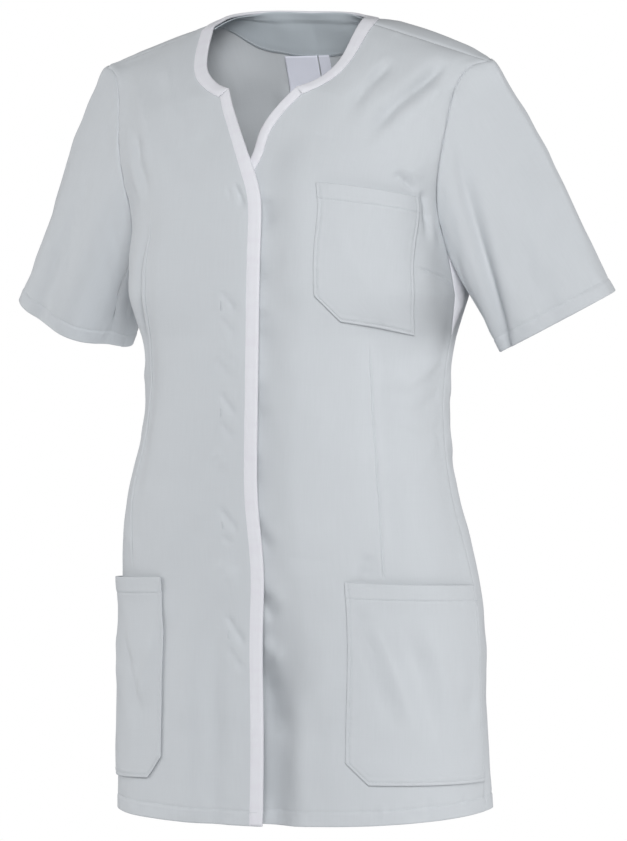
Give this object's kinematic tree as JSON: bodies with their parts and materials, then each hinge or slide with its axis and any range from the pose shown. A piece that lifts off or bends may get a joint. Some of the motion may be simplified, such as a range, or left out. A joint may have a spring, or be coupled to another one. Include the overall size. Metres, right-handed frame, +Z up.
{
  "type": "medical tunic",
  "caption": "Women's short-sleeve medical tunic in its worn, hollow form: bound round neck and front edge, concealed placket, chest pocket and two lower pockets.",
  "frame": {"origin": "midway between the two points where the shoulder seams meet the neck, where the wearer's shoulders hold the garment", "axes": "+X to the wearer's left, +Y to the wearer's back, +Z up; the front faces -Y"},
  "size_m": [0.611, 0.2673, 0.7732],
  "materials": {
    "cloth": "matte poly-cotton plain weave",
    "binding": "matte white cotton tape",
    "facing": "matte poly-cotton in the neck's shade",
    "label": "smooth woven label, bare",
    "stud": "satin press stud"
  },
  "bodies": {
    "root": {"front_right": "cloth", "front_left": "cloth", "back": "cloth", "sleeve_right": "cloth", "sleeve_left": "cloth", "fly_strip": "cloth", "chest_pocket": "cloth", "lower_pocket_right": "cloth", "lower_pocket_left": "cloth", "neck_binding": "binding", "edge_binding_right": "binding", "edge_binding_left": "binding", "gusset_right": "binding", "gusset_left": "binding", "neck_facing": "facing", "neck_label": "label", "size_tab": "label", "press_stud_1": "stud", "press_stud_2": "stud", "press_stud_3": "stud", "press_stud_4": "stud", "press_stud_5": "stud"}
  },
  "joints": []
}
